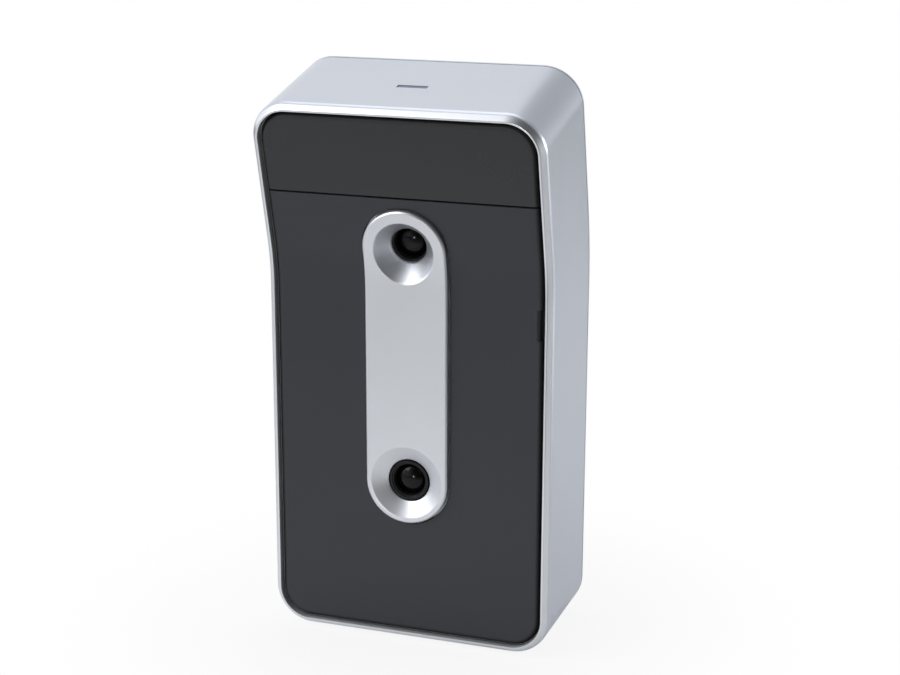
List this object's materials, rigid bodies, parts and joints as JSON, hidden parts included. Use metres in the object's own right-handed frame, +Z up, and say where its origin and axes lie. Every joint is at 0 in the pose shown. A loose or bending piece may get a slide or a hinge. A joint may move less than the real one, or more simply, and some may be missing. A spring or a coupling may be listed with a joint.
{
  "type": "golf launch monitor",
  "caption": "Camera-based golf launch monitor: tall silver bent slab with a dark front panel, a raised camera bar, a strobe window above, and a power button and charging socket behind.",
  "frame": {"origin": "centre of the base pad's underside, on the floor", "axes": "+X to the right seen from the front, +Y to the back, +Z up"},
  "size_m": [0.122, 0.073, 0.2402],
  "materials": {
    "shell_silver": "satin silver anodised",
    "panel_dark": "fine satin",
    "window_dark": "dark infrared-passing, satin gloss",
    "gasket_foam": "closed-cell foam",
    "bezel_silver": "satin silver",
    "lens_black": "black satin",
    "lens_glass": "coated glass",
    "holder_black": "black moulded",
    "board_green": "solder mask",
    "board_white": "white solder mask",
    "chip_dark": "moulded package",
    "brass_post": "turned",
    "screw_steel": "black-zinc plated",
    "chassis_metal": "bare sheet",
    "sink_metal": "bare extruded",
    "emitter_clear": "clear moulded lens",
    "tray_plastic": "moulded",
    "cell_wrap": "shrink-wrapped",
    "strap_steel": "spring strip",
    "lead_red": "insulated pair",
    "socket_steel": "drawn shell",
    "plunger_white": "moulded",
    "button_dark": "satin",
    "light_pipe": "translucent",
    "ribbon_film": "polyimide film",
    "pad_rubber": "moulded",
    "plate_metal": "bare brushed"
  },
  "bodies": {
    "housing": {"main_shell": "shell_silver", "rear_cover": "shell_silver", "front_panel": "panel_dark", "strobe_window": "window_dark", "panel_gasket": "gasket_foam", "camera_bezel": "bezel_silver", "lower_lens_barrel": "lens_black", "upper_lens_barrel": "lens_black", "lower_lens_glass": "lens_glass", "upper_lens_glass": "lens_glass", "lower_lens_holder": "holder_black", "upper_lens_holder": "holder_black", "lower_sensor_board": "board_green", "upper_sensor_board": "board_green", "lower_image_sensor": "chip_dark", "upper_image_sensor": "chip_dark", "camera_spacers": "brass_post", "camera_screws": "screw_steel", "chassis": "chassis_metal", "hex_standoffs": "brass_post", "cover_screws": "screw_steel", "strobe_board": "board_white", "strobe_emitters": "emitter_clear", "strobe_heat_sink": "sink_metal", "strobe_screws": "screw_steel", "main_board": "board_green", "main_board_chips": "chip_dark", "processor": "chip_dark", "processor_heat_sink": "sink_metal", "main_board_spacers": "brass_post", "main_board_screws": "screw_steel", "battery_tray": "tray_plastic", "battery_cells": "cell_wrap", "battery_strap": "strap_steel", "battery_screws": "screw_steel", "battery_guard_board": "board_green", "battery_lead": "lead_red", "input_board": "board_green", "charging_socket": "socket_steel", "button_switch": "chip_dark", "input_screws": "screw_steel", "status_board": "board_green", "status_leds": "emitter_clear", "status_light_pipe": "light_pipe", "status_screws": "screw_steel", "lower_camera_ribbon": "ribbon_film", "upper_camera_ribbon": "ribbon_film", "wireless_antenna": "ribbon_film", "base_pad": "pad_rubber", "rating_plate": "plate_metal"},
    "button": {"power_button": "button_dark", "switch_plunger": "plunger_white"}
  },
  "joints": [
    {"name": "power_button_press", "type": "slide", "parent": "housing", "child": "button", "axis": [0, -1, 0], "range_m": [0, 0.0006], "stiffness_N_per_m": 1500, "springref_m": -0.0008}
  ]
}
